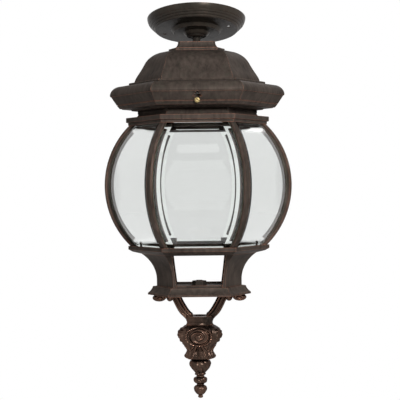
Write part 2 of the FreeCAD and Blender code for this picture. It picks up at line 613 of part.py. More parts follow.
def makeRings():
    keep(moulding("topRingBar", "ringLand", "0", [
        (flat("ringLand"), "crownFoot - ringWeb"),
        (flat("ringLand"), "topRingFoot"),
        (flat("topRingFootSide"), "topRingFoot"),
        (flat("topRingFootSide"), "crownFoot - topRingBand - 0.9"),
        (flat("topRingSide"), "crownFoot - topRingBand"),
        (flat("topRingSide"), "crownFoot"),
        (flat("topRingBore"), "crownFoot"),
        (flat("topRingBore"), "crownFoot - ringWeb"),
    ]), "top_ring")
    ringTop = "topRingFoot - glassRingDrop"
    keep(moulding("glassRingBar", "glassRingSide", "0", [
        (flat("glassRingBore"), f"{ringTop} - glassRingTall"),
        (flat("glassRingSide"), f"{ringTop} - glassRingTall"),
        (flat("glassRingSide"), ringTop), (flat("glassRingBore"), ringTop)]), "glass_ring")
    lugs = [cornerPlate(f"ringLug{turn}", turn, "lugThick", ringTop, "crownFoot - ringWeb") for turn in cornerTurns]
    keep(group("ringLugs", lugs), "ring_posts")
    keep(moulding("lowerRingBar", "lowerRingLand", "0", [
        (flat("lowerRingBore"), "lowerRingFoot"),
        (flat("lowerRingFootSide"), "lowerRingFoot"),
        (flat("lowerRingSide") + " - 5", "lowerRingTop - lowerRingBand - 3.1"),
        (flat("lowerRingSide"), "lowerRingTop - lowerRingBand"),
        (flat("lowerRingSide"), "lowerRingTop"),
        (flat("lowerRingLand"), "lowerRingTop"),
        (flat("lowerRingLand") + " - 0.8", "lowerRingFoot + ringWeb"),
        (flat("lowerRingBore"), "lowerRingFoot + ringWeb")]), "lower_ring")


def bend(body, sketch, angle):
    """Turn a rib's section about an upright line inside the cage, equally up and down."""
    hub = number("ribMidSide - ribRound")
    reach = number("ribFace")
    ends = [FreeCAD.Vector(hub, side * reach, 0) for side in (-1, 1)]
    line = sketch.addGeometry(Part.LineSegment(*ends), True)
    sketch.addConstraint(Sketcher.Constraint("Vertical", line))
    pin(sketch, "DistanceX", (-1, 1, line, 1), hub, "ribMidSide - ribRound")
    pin(sketch, "DistanceY", (-1, 1, line, 1), -reach, "-ribFace")
    pin(sketch, "DistanceY", (-1, 1, line, 2), reach, "ribFace")
    feature = body.newObject("PartDesign::Revolution", sketch.Name + "Bend")
    feature.Profile = sketch
    feature.ReferenceAxis = (sketch, ["Axis0"])
    feature.Midplane = True
    feature.setExpression("Angle", bind(angle))


def makeRib(index, turn):
    body = newBody(f"ribBar{index}")
    front = "ribMidSide"
    fin = f"{front} - ribFinDepth"
    # The inner fin stops short of the rings and carries a flange behind the panes.
    bend(body, outline(newSketch(body, "XY_Plane", f"ribFin{index}"), [
        (f"{front} - ribDepth + 1", "ribStem / 2"), (f"{fin} + ribFinFlange", "ribStem / 2"),
        (f"{fin} + ribFinFlange", "ribFace / 2"), (f"{fin} + ribBevel", "ribFace / 2"),
        (fin, "ribFace / 2 - ribBevel"), (fin, "-ribFace / 2 + ribBevel"),
        (f"{fin} + ribBevel", "-ribFace / 2"), (f"{fin} + ribFinFlange", "-ribFace / 2"),
        (f"{fin} + ribFinFlange", "-ribStem / 2"), (f"{front} - ribDepth + 1", "-ribStem / 2")]),
        "2 * asin((cageTall / 2 - ribFinGap) / (ribRound - ribFinDepth + ribFinFlange))")
    bend(body, outline(newSketch(body, "XY_Plane", f"ribSection{index}"), [
        (front, "-ribFace / 2 + ribBevel"), (front, "ribFace / 2 - ribBevel"),
        (f"{front} - ribBevel", "ribFace / 2"), (f"{front} - ribFlange", "ribFace / 2"),
        (f"{front} - ribFlange", "ribStem / 2"), (f"{front} - ribDepth", "ribStem / 2"),
        (f"{front} - ribDepth", "-ribStem / 2"), (f"{front} - ribFlange", "-ribStem / 2"),
        (f"{front} - ribFlange", "-ribFace / 2"), (f"{front} - ribBevel", "-ribFace / 2")]),
        "2 * asin(cageTall / 2 / ribRound) + 12 deg")
    for name, low, high in (("Top", "cageTall / 2", "cageTall"), ("Foot", "-cageTall", "-cageTall / 2")):
        trim = rectangle(newSketch(body, "XZ_Plane", f"rib{name}Trim{index}"), "0", low, "2 * ribMidSide", high)
        extrude(body, trim, "4 * ribFace", "Pocket", midplane=True)
    body.Placement.Rotation = FreeCAD.Rotation(FreeCAD.Vector(0, 0, 1), turn)
    keep(raise_(body, "cageMiddle"), f"rib_{index + 1}")


def makePanes():
    for index, turn in enumerate(faceTurns):
        body = newBody(f"paneSheet{index}")
        high = "cageTall / 2"
        band = outline(newSketch(body, "YZ_Plane", f"paneBand{index}"), [
            ("glassInner", f"-{high}", "glassRound - glassThick", 1),
            ("glassEnd", f"-{high}"),
            ("glassEnd", high, "glassRound", -1),
            ("glassInner", high)])
        extrude(body, band, "ribMidSide * 1.2", midplane=True)
        # Both edges run beside the stems of the ribs.
        for sign, name in ((1, "Right"), (-1, "Left")):
            gap = "(ribStem / 2 + glassFit) / cos(30)"
            far = "2 * ribMidSide"
            side = outline(newSketch(body, "XY_Plane", f"pane{name}{index}"), [
                (f"-{sign} * {gap}", "0"), (f"{sign} * ({far} * tan(30) - {gap})", far),
                (f"{sign} * {far}", far), (f"{sign} * {far}", "0")])
            extrude(body, side, "2 * cageTall", "Pocket", midplane=True)
        body.Placement.Rotation = FreeCAD.Rotation(FreeCAD.Vector(0, 0, 1), turn - 90)
        keep(raise_(body, "cageMiddle"), f"pane_{index + 1}")


def cornerPlate(name, turn, thick, foot, top):
    """An upright plate across a corner, just inside the ends of two panes."""
    aim = radial(turn)
    inner = f"(cornerSeat - {thick})"
    plate = doc.addObject("Part::Box", name)
    plate.setExpression("Length", bind(thick))
    plate.setExpression("Width", bind("lugWide"))
    plate.setExpression("Height", bind(f"({top}) - ({foot})"))
    plate.Placement.Rotation = FreeCAD.Rotation(FreeCAD.Vector(0, 0, 1), turn)
    plate.setExpression("Placement.Base.x", bind(f"{inner} * {aim[0]} + lugWide / 2 * {aim[1]}"))
    plate.setExpression("Placement.Base.y", bind(f"{inner} * {aim[1]} - lugWide / 2 * {aim[0]}"))
    plate.setExpression("Placement.Base.z", bind(foot))
    return plate


def makeClips():
    foot = "lowerRingFoot + ringWeb"
    clips = [cornerPlate(f"glassClip{turn}", turn, "clipThick", foot, "lowerRingTop + clipTall")
             for turn in cornerTurns]
    keep(group("glassClips", clips), "glass_clips")


# ---- base ---------------------------------------------------------------------------------------
def makeBase():
    wide = "baseStretch"
    for sign, name in ((-1, "left"), (1, "right")):
        body = moulding(f"cheek{name}", "baseTopSide", wide, [
            (flat("baseFootSide", wide), "deck"),
            (flat("baseFootSide", wide), "deck + baseStraight"),
            (flat("baseTopSide", wide), "lowerRingFoot", "baseRound", 1),
            (flat("baseTopSide", wide) + " - baseWall", "lowerRingFoot"),
            (flat("baseFootSide", wide) + " - baseWall", "deck + baseStraight", "baseRound", -1),
            (flat("baseFootSide", wide) + " - baseWall", "deck")])
        window = outline(newSketch(body, "XZ_Plane", f"window{name}"), [
            (f"{sign} * windowTop", "lowerRingFoot"), (f"{-sign} * 100", "lowerRingFoot"),
            (f"{-sign} * 100", "deck"), (f"{sign} * windowFoot", "deck")])
        extrude(body, window, "300", "Pocket", midplane=True)
        keep(body, f"cheek_{name}")
    tray = moulding("trayBlock", "traySide", wide, [
        ("trayInner - 16", "trayFoot"),
        (flat("traySide", wide), "trayFoot"),
        (flat("traySide", wide), "trayFoot + trayLip"),
        (flat("trayTopSide", wide), "deck - 0.4", "trayRound", 1),
        (flat("trayTopSide", wide) + " - 0.6", "deck"),
        (flat("baseFootSide", wide) + " - baseWall - boreFit", "deck"),
        (flat("baseFootSide", wide) + " - baseWall - boreFit", "deck + sillTall"),
        (flat("baseFootSide", wide) + " - baseWall - boreFit - sillWall", "deck + sillTall"),
        (flat("baseFootSide", wide) + " - baseWall - boreFit - sillWall", "deck"),
        ("trayInner - 16", "deck")])
    plate = newSketch(tray, "XY_Plane", "trayPlatePlan", "deck")
    circle(plate, "0", "0", "trayInner - 6")
    extrude(tray, plate, "trayPlate", flip=True)
    keep(bore("trayDrilled", tray, "trayBoltRadius + boreFit", "trayFoot - 1", "deck + 1", [("0", "0", "0")]), "tray")
    washerTop = "deck + trayNutWasherTall"
    keep(turned("trayWasherDisc", [
        ("trayBoltRadius + boreFit", "deck"), ("trayNutWasher", "deck"), ("trayNutWasher", washerTop),
        ("trayBoltRadius + boreFit", washerTop)]), "tray_washer")
    keep(makeNut("trayNutBody", "trayNutCorner", "trayNutTall", washerTop, "trayBoltRadius + boreFit"), "tray_nut")
    head = "deck - trayPlate - 3"
    keep(turned("trayBoltBody", [
        ("0", head), ("trayNutWasher - 2", head), ("trayNutWasher - 2", "deck - trayPlate"),
        ("trayBoltRadius", "deck - trayPlate"), ("trayBoltRadius", f"{washerTop} + trayNutTall + 0.8"),
        ("0", f"{washerTop} + trayNutTall + 0.8")]), "tray_bolt")


# ---- arms, hub and finial -----------------------------------------------------------------------
def makeArm(sign, name):
    body = newBody("arm" + name)
    side = "hubSide + boreFit"

    def at(x, drop):
        return (f"{sign} * ({x})", f"trayFoot - ({drop})")

    steps = [
        at("armTopInner", "0"),
        at("hubSide * 0.5", "armTall") + ("armInnerRound", sign),
        at(side, "armTall"),
        at(side, "armTall + hubTall * 0.6"),
        at("hubSide + 12.7", "armTall * 0.78") + ("armHeelRound", -sign),
        at("hubSide + 19.5", "voluteTall + 0.9") + ("armNeckRound", sign),
        at("hubSide + 26.2", "voluteTall - 1.1") + ("4.2", -sign),
        at("voluteEnd - 6", "voluteTall - 0.8") + ("18", -sign),
        at("voluteEnd", "0") + ("8.5", -sign)]
    face = outline(newSketch(body, "XZ_Plane", "armFace" + name), steps)
    extrude(body, face, "armWide", midplane=True)
    eye = circle(newSketch(body, "XZ_Plane", "armEye" + name), f"{sign} * eyeSide", "trayFoot - eyeDrop", "eyeRadius")
    extrude(body, eye, "armWide + 2 * eyeProud", midplane=True)
    # Two flutes run down each face of the arm.
    for flank, lift in (("Front", "armWide / 2 - fluteDeep"), ("Back", "-armWide / 2")):
        for index, shift in enumerate((0, 1)):
            shape = newSketch(body, "XZ_Plane", f"flute{name}{flank}{index}", lift)
            outline(shape, [
                at(f"armTopInner + 2.4 + {shift} * 4.2", "3"),
                at(f"hubSide + 1.4 + {shift} * 4.6", f"armTall * 0.84 + {shift} * 1.2") + ("90", -sign),
                at(f"hubSide + 3.8 + {shift} * 4.6", f"armTall * 0.78 + {shift} * 1.2"),
                at(f"armTopInner + 5.0 + {shift} * 4.2", "4.5") + ("90", sign)])
            extrude(body, shape, "fluteDeep", "Pocket", flip=True)
    keep(body, "arm_" + name)


def makeTail():
    hole = "rodRadius + boreFit"
    keep(turned("hubBody", [
        (hole, "urnTop"), ("hubSide", "urnTop"), ("hubWaist", "hubTop - hubTall * 0.72", "6", 1),
        ("hubSide", "hubTop - hubTall * 0.45"), ("hubSide", "hubTop"), ("hubSide * 0.5", "hubTop"),
        ("hubSide * 0.5 - hubDish", "hubTop - hubDish"), (hole, "hubTop - hubDish")]), "hub")
    urn = turned("urnBody", [
        (hole, "bulbTop"), ("urnFoot", "bulbTop"), ("urnLeafSide - 0.6", "bulbTop + 2"),
        ("urnLeafSide", "urnTop - urnWaistDrop - 5"),
        ("urnWaist", "urnTop - urnWaistDrop", "5", -1),
        ("urnSide - 1.6", "urnTop - urnBulgeDrop - 6", "60", -1),
        ("urnSide", "urnTop - urnBulgeDrop", "12", -1),
        ("hubSide", "urnTop", "urnShoulder", -1), (hole, "urnTop")])
    rose = circle(newSketch(urn, "XZ_Plane", "rosettePlan"), "0", "urnTop - urnBulgeDrop + rosetteRise", "rosetteRadius")
    extrude(urn, rose, "2 * (urnSide + rosetteProud)", midplane=True)
    keep(bore("urnDrilled", urn, hole, "bulbTop - 1", "urnTop + 1", [("0", "0", "0")]), "urn")
    keep(turned("bulbBody", [
        (hole, "ballTop"), ("collarSide - 0.6", "ballTop"),
        ("collarSide", "ballTop + collarTall * 0.5", "2", -1),
        ("collarSide - 0.6", "ballTop + collarTall", "2", -1),
        ("bulbSide", "bulbTop - bulbDrop", "26", -1), ("urnFoot", "bulbTop", "8", -1), (hole, "bulbTop")]), "finial_bulb")
    keep(turned("beadBody", [
        (hole, "tipTop"), ("tipNeck", "tipTop"),
        ("ballNeck", "ballTop - ballTall * 0.18", "beadRadius * 0.73", -1), ("ballNeck", "ballTop"),
        (hole, "ballTop")]), "finial_ball")
    keep(turned("tipBody", [
        ("0", "tipEnd"), ("tipLip", "tipEnd + 2.6", "3.6", -1), ("tipLip - 0.9", "tipEnd + 3.6"),
        ("tipSide", "tipTop - tipDrop", "30", -1), ("tipNeck", "tipTop", "6.5", -1), (hole, "tipTop"),
        (hole, "tipTop - rodEnd"), ("0", "tipTop - rodEnd")]), "finial_tip")
    keep(rod("rodBody", ("0", "0", "0"), "rodRadius", "tipTop - rodEnd", "hubTop - hubDish"), "finial_rod")


# ---- thumb screws -------------------------------------------------------------------------------
def makeThumbScrew(turn, name):
    body = newBody("thumb" + name)
    seat = flat("skirtFootSide") + " - 0.4"
    back = flat("skirtFootSide") + " + 2.4"
    steps = [
        ("0", flat("spigotSide") + " - spigotWall - 2"), ("thumbShank", flat("spigotSide") + " - spigotWall - 2"),
        ("thumbShank", seat), ("thumbCollar", f"{seat} + 0.8"), ("thumbCollar", back), ("thumbHead", back),
        ("thumbHead", f"{back} + thumbHeadLong - 0.8"),
        ("thumbHead - 0.9", f"{back} + thumbHeadLong", "1", -1), ("0", f"{back} + thumbHeadLong")]
    revolve(body, outline(newSketch(body, "XZ_Plane", "thumbProfile" + name), steps))
    aim = FreeCAD.Vector(*radial(turn))
    body.Placement.Rotation = FreeCAD.Rotation(FreeCAD.Vector(0, 0, 1), aim)
    keep(raise_(body, "seam - seamGap / 2"), "thumb_screw_" + name)


makeCanopy()
makeSwivel()
makeNeck()
makeRoof()
makeSkirt()
makeLampholder()
makeCrown()
makeRings()
for index, turn in enumerate(cornerTurns):
    makeRib(index, turn)
makePanes()
makeClips()
makeBase()
makeArm(-1, "left")
makeArm(1, "right")
makeTail()
for turn, name in ((-90, "front"), (150, "left"), (30, "right")):
    makeThumbScrew(turn, name)

doc.recompute()

faults = []
for item in doc.Objects:
    if {"Invalid", "Error"} & set(item.State):
        faults.append(f"{item.Name} ({item.Label}): {item.State}")
for piece in pieces:
    if piece.Shape.isNull() or not piece.Shape.isValid():
        faults.append(f"{piece.Label}: no valid shape")
if faults:
    raise RuntimeError("; ".join(faults))

os.makedirs("parts", exist_ok=True)
for piece in pieces:
    piece.Shape.exportStep(f"parts/{piece.Label}.step")
print(f"{len(pieces)} pieces")
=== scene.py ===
import json
import math

import bmesh
import bpy
from mathutils import Matrix, Vector


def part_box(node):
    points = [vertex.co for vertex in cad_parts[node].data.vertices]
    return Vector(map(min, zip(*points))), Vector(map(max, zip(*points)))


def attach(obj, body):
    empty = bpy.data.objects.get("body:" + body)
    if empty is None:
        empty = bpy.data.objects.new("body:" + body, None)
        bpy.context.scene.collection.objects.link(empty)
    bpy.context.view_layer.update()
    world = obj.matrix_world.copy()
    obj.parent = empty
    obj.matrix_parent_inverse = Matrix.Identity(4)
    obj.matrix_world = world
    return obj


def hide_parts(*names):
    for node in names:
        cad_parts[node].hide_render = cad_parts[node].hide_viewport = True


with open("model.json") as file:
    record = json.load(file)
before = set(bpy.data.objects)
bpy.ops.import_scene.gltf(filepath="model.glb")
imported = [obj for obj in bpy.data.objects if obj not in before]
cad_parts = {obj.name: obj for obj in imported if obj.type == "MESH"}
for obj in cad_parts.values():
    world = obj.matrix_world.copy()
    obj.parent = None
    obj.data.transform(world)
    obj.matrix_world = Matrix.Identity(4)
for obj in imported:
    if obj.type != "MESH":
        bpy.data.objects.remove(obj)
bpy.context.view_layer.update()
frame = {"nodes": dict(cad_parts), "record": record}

# A hexagonal porch lantern that hangs from a tilted ceiling pan. Metres, +Z up, seen along +Y.
# The dark antique bronze is rubbed to copper on its edges, and the clear panes have wide bevels.
# Lengths in the dictionaries are in millimetres for the pieces, and in metres for all the rest.

mm = 0.001
nodes = frame["nodes"]
bodyOf = {}
for body, members in frame["record"]["behaviour"]["bodies"].items():
    for member in members:
        bodyOf[member] = body


class Wire:
    # One socket of a material. Arithmetic on it adds Math nodes.
    def __init__(self, finish, socket):
        self.finish = finish
        self.socket = socket

    def maths(self, operation, first, second):
        return self.finish.node("Math", {"operation": operation}, {0: first, 1: second})

    def __add__(self, other):
        return self.maths("ADD", self, other)

    def __sub__(self, other):
        return self.maths("SUBTRACT", self, other)

    def __rsub__(self, other):
        return self.maths("SUBTRACT", other, self)

    def __mul__(self, other):
        return self.maths("MULTIPLY", self, other)

    __radd__ = __add__
    __rmul__ = __mul__


class Finish:
    # A material, or the world, under construction.
    def __init__(self, name, owner=None):
        self.owner = owner or bpy.data.materials.new(name)
        self.owner.use_nodes = True
        self.tree = self.owner.node_tree
        self.tree.nodes.clear()

    def node(self, kind, settings, sockets, out=0):
        # kind: the node's type; a ramp's stops are (position, shade) pairs
        made = self.tree.nodes.new("ShaderNode" + kind)
        for key, value in settings.items():
            if key == "stops":
                for element, (position, shade) in zip(made.color_ramp.elements, value):
                    element.position = position
                    element.color = (shade, shade, shade, 1)
            else:
                setattr(made, key, value)
        for key, value in sockets.items():
            if isinstance(value, Wire):
                self.tree.links.new(value.socket, made.inputs[key])
            elif isinstance(value, tuple) and len(made.inputs[key].default_value) == 4:
                made.inputs[key].default_value = (*value, 1)      # a colour, made opaque
            else:
                made.inputs[key].default_value = value
        return Wire(self, made.outputs[out]) if made.outputs else None

    def place(self):
        return self.node("TexCoord", {}, {}, "Object")

    def mix(self, share, first, second):
        # a Mix node keeps its two colours in sockets 6 and 7 and their mix in output 2
        return self.node("Mix", {"data_type": "RGBA"}, {0: share, 6: first, 7: second}, 2)

    def ramp(self, value, span, least=0, most=1):
        # least up to the start of the span, most from its end on
        return self.node("ValToRGB", {"stops": ((span[0], least), (span[1], most))}, {0: value})

    def noise(self, place, scale, detail=2, rough=0.5, stretch=(1, 1, 1)):
        spot = self.node("Mapping", {}, {"Vector": place, "Scale": stretch})
        sockets = {"Vector": spot, "Scale": scale, "Detail": detail, "Roughness": rough}
        return self.node("TexNoise", {}, sockets)

    def bump(self, height, strength, distance, below=None):
        sockets = {"Height": height, "Strength": strength, "Distance": distance}
        if below:
            sockets["Normal"] = below
        return self.node("Bump", {}, sockets)

    def end(self, shader, output="OutputMaterial"):
        self.node(output, {}, {"Surface": shader})
        return self.owner


# A mask goes from its least to its most across its span.
bronzeLook = {
    "shadow": (0.026, 0.021, 0.018), "brown": (0.098, 0.076, 0.064), "toneSpan": (0.28, 0.70),
    "verdigris": (0.060, 0.060, 0.046), "patina": 0.3, "patinaSpan": (0.50, 0.68),
    "copper": (0.27, 0.120, 0.078), "warm": 0.0, "warmSpan": (0.45, 0.9), "warmMottle": 0.4,
    "cloudScale": 26, "mottleScale": 150, "streakScale": 220, "gritScale": 1500,
    "brushed": (1, 1, 0.12),                  # draws the streaks out up and down
    "edgeWide": 0.0011, "edgeReach": 1.5,     # width of a rubbed edge, and how many widths inside it is felt
    "rubSpan": (0.010, 0.07), "rubMost": 0.7, "outerSpan": (0.0, 0.06),
    "wearSpan": (0.36, 0.58), "wearLeast": 0.15, "wearMost": 1.3,
    "gloss": 0.36, "mottleDull": 0.22, "rubShine": 0.10, "metal": 0.2, "rubMetal": 0.3,
    "shine": 0.02, "shineTint": (0.35, 0.32, 0.30),
    "grain": 0.14, "grainDeep": 0.0004, "cast": 0.14, "castDeep": 0.0012, "castStreak": 0.25,
}


def bronzeFinish(name, **changes):
    look = {**bronzeLook, **changes}
    made = Finish(name)
    place = made.place()
    clouds = made.noise(place, look["cloudScale"], detail=4, rough=0.55)
    mottle = made.noise(place, look["mottleScale"], detail=3, rough=0.6)
    streak = made.noise(place, look["streakScale"], rough=0.6, stretch=look["brushed"])
    grit = made.noise(place, look["gritScale"], rough=0.6)
    tone = made.ramp(clouds * 0.5 + streak * 0.5, look["toneSpan"])
    base = made.mix(tone, look["shadow"], look["brown"])
    patina = made.ramp(mottle, look["patinaSpan"], most=look["patina"])
    base = made.mix(patina, base, look["verdigris"])
    if look["warm"]:
        warmth = made.ramp(clouds + mottle * look["warmMottle"], look["warmSpan"], most=look["warm"])
        base = made.mix(warmth, base, look["copper"])
    # the rubbed edges: where a rounded normal leaves the true one, on edges that stand out
    eased = made.node("Bevel", {"samples": 6}, {"Radius": look["edgeWide"]})
    true = made.node("NewGeometry", {}, {}, "True Normal")
    turned = 1 - made.node("VectorMath", {"operation": "DOT_PRODUCT"}, {0: eased, 1: true}, "Value")
    inner = made.node("AmbientOcclusion", {"inside": True, "only_local": True, "samples": 6},
                      {"Distance": look["edgeReach"] * look["edgeWide"]}, "AO")
    wear = made.ramp(mottle * 0.5 + streak * 0.5, look["wearSpan"], look["wearLeast"], look["wearMost"])
    rub = made.ramp(turned * wear, look["rubSpan"], most=look["rubMost"])
    rub = rub * made.ramp(1 - inner, look["outerSpan"])
    grain = made.bump(grit, look["grain"], look["grainDeep"])
    skin = clouds + streak * look["castStreak"]
    shader = made.node("BsdfPrincipled", {}, {
        "Base Color": made.mix(rub, base, look["copper"]),
        "Roughness": look["gloss"] + look["mottleDull"] * mottle - look["rubShine"] * rub,
        "Metallic": look["metal"] + look["rubMetal"] * rub,
        "Normal": made.bump(skin, look["cast"], look["castDeep"], grain),
        "Specular IOR Level": look["shine"], "Specular Tint": look["shineTint"]})
    return made.end(shader)


metalLook = {
    "stainScale": 300, "stainSpan": (0.4, 0.7), "stainMost": 0.8,
    "scratchScale": 900, "drawn": (1, 1, 0.1), "scratchDull": 0.25, "scratch": 0.2, "scratchDeep": 0.0002,
}


def metalFinish(name, colour, dull, gloss):
    made = Finish(name)
    place = made.place()
    stain = made.noise(place, metalLook["stainScale"], detail=3, rough=0.6)
    scratch = made.noise(place, metalLook["scratchScale"], stretch=metalLook["drawn"])
    stained = made.ramp(stain, metalLook["stainSpan"], most=metalLook["stainMost"])
    shader = made.node("BsdfPrincipled", {}, {
        "Base Color": made.mix(stained, colour, dull),
        "Roughness": gloss + metalLook["scratchDull"] * scratch, "Metallic": 1.0,
        "Normal": made.bump(scratch, metalLook["scratch"], metalLook["scratchDeep"])})
    return made.end(shader)


glazeLook = {
    "cloudScale": 120, "cloudSpan": (0.5, 0.8), "cloudMost": 0.5, "cloudDull": 0.12,
    "coatRough": 0.08, "skinScale": 600, "skin": 0.06, "skinDeep": 0.0003,
}


def glazedFinish(name, colour, stain, gloss, coat):
    made = Finish(name)
    place = made.place()
    cloud = made.noise(place, glazeLook["cloudScale"], detail=3, rough=0.6)
    skin = made.noise(place, glazeLook["skinScale"])
    stained = made.ramp(cloud, glazeLook["cloudSpan"], most=glazeLook["cloudMost"])
    shader = made.node("BsdfPrincipled", {}, {
        "Base Color": made.mix(stained, colour, stain),
        "Roughness": gloss + glazeLook["cloudDull"] * cloud,
        "Coat Weight": coat, "Coat Roughness": glazeLook["coatRough"],
        "Normal": made.bump(skin, glazeLook["skin"], glazeLook["skinDeep"])})
    return made.end(shader)


glassLook = {
    "rippleScale": 70, "rippleDeep": 0.0004, "smearScale": 24, "smearSpan": (0.3, 0.7),
    "smearTint": 0.985, "smearDull": 0.012, "refraction": 1.5,
}


def glassFinish(name, tint, ripples):
    made = Finish(name)
    place = made.place()
    ripple = made.noise(place, glassLook["rippleScale"])
    smear = made.noise(place, glassLook["smearScale"], detail=3, rough=0.6)
    smeared = tuple(glassLook["smearTint"] * part for part in tint)
    shader = made.node("BsdfPrincipled", {}, {
        "Base Color": made.mix(made.ramp(smear, glassLook["smearSpan"]), tint, smeared),
        "Roughness": glassLook["smearDull"] * smear,
        "IOR": glassLook["refraction"], "Transmission Weight": 1.0,
        "Normal": made.bump(ripple, ripples, glassLook["rippleDeep"])})
    return made.end(shader)


castBronze = bronzeFinish("cast_bronze")
panBronze = bronzeFinish(
    "pan_bronze", brown=(0.030, 0.034, 0.029), verdigris=(0.036, 0.041, 0.034), warm=0.08,
    gloss=0.22, grain=0.08, rubMost=0.5, edgeWide=0.0004, shine=0.14)
tailBronze = bronzeFinish(
    "tail_bronze", shadow=(0.012, 0.010, 0.008), brown=(0.038, 0.028, 0.022), warm=0.18,
    copper=(0.34, 0.17, 0.115), gloss=0.18, edgeWide=0.0010, rubSpan=(0.015, 0.13), metal=0.8, shine=0.4)
cageSteel = bronzeFinish("cage_steel", brown=(0.050, 0.042, 0.036), grain=0.08, rubMost=0.15)
swivelBronze = bronzeFinish("swivel_bronze", brown=(0.034, 0.029, 0.025), rubMost=0.2, gloss=0.4)
zinc = metalFinish("zinc", (0.60, 0.60, 0.58), (0.42, 0.42, 0.41), gloss=0.25)
brass = metalFinish("brass", (0.75, 0.54, 0.25), (0.36, 0.24, 0.10), gloss=0.20)
agedBrass = metalFinish("aged_brass", (0.30, 0.23, 0.11), (0.16, 0.12, 0.06), gloss=0.30)
porcelain = glazedFinish("porcelain", (0.84, 0.83, 0.79), (0.74, 0.72, 0.66), gloss=0.12, coat=0.6)
whitePlastic = glazedFinish("white_plastic", (0.78, 0.77, 0.73), (0.70, 0.69, 0.64), gloss=0.38, coat=0.0)
cutGlass = glazedFinish("cut_glass", (0.16, 0.19, 0.14), (0.09, 0.11, 0.08), gloss=0.35, coat=0.0)
paneGlass = glassFinish("pane_glass", (0.765, 0.762, 0.765), ripples=0.0)
bevelGlass = glassFinish("bevel_glass", (0.90, 0.93, 0.91), ripples=0.05)

finishOf = {      # every other node is cast bronze
    "canopy": panBronze, "hub": tailBronze,
    "swivel_washer": swivelBronze, "swivel_ball": swivelBronze,
    "stem": swivelBronze, "stem_nuts": swivelBronze,
    "roof_washer": zinc, "lamp_bracket": zinc, "holder_screws": zinc, "finial_rod": zinc,
    "screw_shell": brass, "centre_contact": brass, "earth_screw": brass,
    "lampholder": porcelain, "terminal_block": whitePlastic,
    "crown_screws": cageSteel, "glass_clips": cageSteel, "ring_posts": cageSteel, "glass_ring": cageSteel,
    "tray_nut": cageSteel, "tray_washer": cageSteel, "tray_bolt": cageSteel,
}
for name, node in nodes.items():
    node.data.materials.clear()
    node.data.materials.append(finishOf.get(name, castBronze))
print("finishes")


def topOf(node):
    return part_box(node)[1].z / mm


def footOf(node):
    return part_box(node)[0].z / mm


def addPiece(name, points, faces, finishes, node, slot, kinds=None):
    # points in millimetres; node: the CAD node that it stands for; kinds: which finish each face has
    mesh = bpy.data.meshes.new(name)
    mesh.from_pydata([Vector(point) * mm for point in points], [], faces)
    for finish in finishes:
        mesh.materials.append(finish)
    for index, face in enumerate(mesh.polygons):
        face.use_smooth = True
        face.material_index = kinds[index] if kinds else 0
    tidy = bmesh.new()
    tidy.from_mesh(mesh)
    bmesh.ops.recalc_face_normals(tidy, faces=tidy.faces)
    tidy.to_mesh(mesh)
    tidy.free()
    piece = bpy.data.objects.new(name, mesh)
    bpy.context.scene.collection.objects.link(piece)
    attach(piece, bodyOf[node])
    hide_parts(node)
    return piece


def curveThrough(points, steps):
    # A smooth line through a few points, with so many steps from each point to the next.
    line = []
    ends = [points[0]] + list(points) + [points[-1]]
    for index in range(len(points) - 1):
        before, start, end, after = (Vector(point) for point in ends[index:index + 4])
        for step in range(steps):
            t = step / steps
            line.append(0.5 * (2 * start + (end - before) * t
                               + (2 * before - 5 * start + 4 * end - after) * t ** 2
                               + (3 * start - before - 3 * end + after) * t ** 3))
    return line + [Vector(points[-1])]


def tube(rings):
    # Faces over equal rings of points, with a cap on each end.
    count = len(rings[0])
    points = [point for ring in rings for point in ring]
    faces = []
    for row in range(len(rings) - 1):
        near, far = row * count, (row + 1) * count
        for column in range(count):
            along = (column + 1) % count
            faces.append((near + column, near + along, far + along, far + column))
    faces.append(tuple(range(count))[::-1])
    faces.append(tuple(range(len(points) - count, len(points))))
    return points, faces


def ridge(distance, width):
    # 1 on a line, and soft slopes to 0 beside it.
    return math.exp(-(distance / width) ** 2)


def fade(value, low, high):
    # 0 below low, 1 above high, and a smooth way between them.
    share = min(1, max(0, (value - low) / (high - low)))
    return share * share * (3 - 2 * share)


paneLook = {
    "count": 6, "thick": 4.0, "rows": 24,
    "bevelWide": 11.0, "bevelDeep": 2.0,      # along the two upright sides
    "endWide": 2.5, "endDeep": 0.5,           # along the top and the foot
    "crispAngle": 4,                          # degrees; an edge that turns more stays crisp
}
bevelFace, plainFace, rimFace = 0, 1, 2       # the kinds of faces, in the order of a pane's finishes
halfFace = math.tan(math.radians(30))         # half a hexagon's side, for each millimetre from the axis


def panePoints():
    # Rows of four points up the outer face of the front pane, and then up its inner face.
    low, high = (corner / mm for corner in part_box("pane_1"))
    thick, wide = paneLook["thick"], paneLook["bevelWide"]
    tall, middle = (high.z - low.z) / 2, (high.z + low.z) / 2
    sag = high.y - low.y
    bend = (sag ** 2 - thick ** 2 + tall ** 2) / (2 * (sag - thick))      # radius of the outer face
    centre = -low.y - bend
    gap = -low.y * halfFace - high.x
    most = math.asin(tall / bend)
    clear = most - paneLook["endWide"] / bend
    lifts = [clear * (2 * step / paneLook["rows"] - 1) for step in range(paneLook["rows"] + 1)]
    lifts = [-most] + lifts + [most]
    points = []
    for outside in (True, False):
        for row, lift in enumerate(lifts):
            end = row in (0, len(lifts) - 1)
            for column in range(4):
                depth = thick
                if outside and column in (0, 3):
                    depth = paneLook["bevelDeep"]
                elif outside:
                    depth = paneLook["endDeep"] if end else 0
                level = math.copysign(tall, lift) if end else (bend - depth) * math.sin(lift)
                out = centre + math.sqrt((bend - depth) ** 2 - level ** 2)
                half = out * halfFace - gap
                across = (-half, -half + wide, half - wide, half)[column]
                points.append((across, -out, level + middle))
    return points


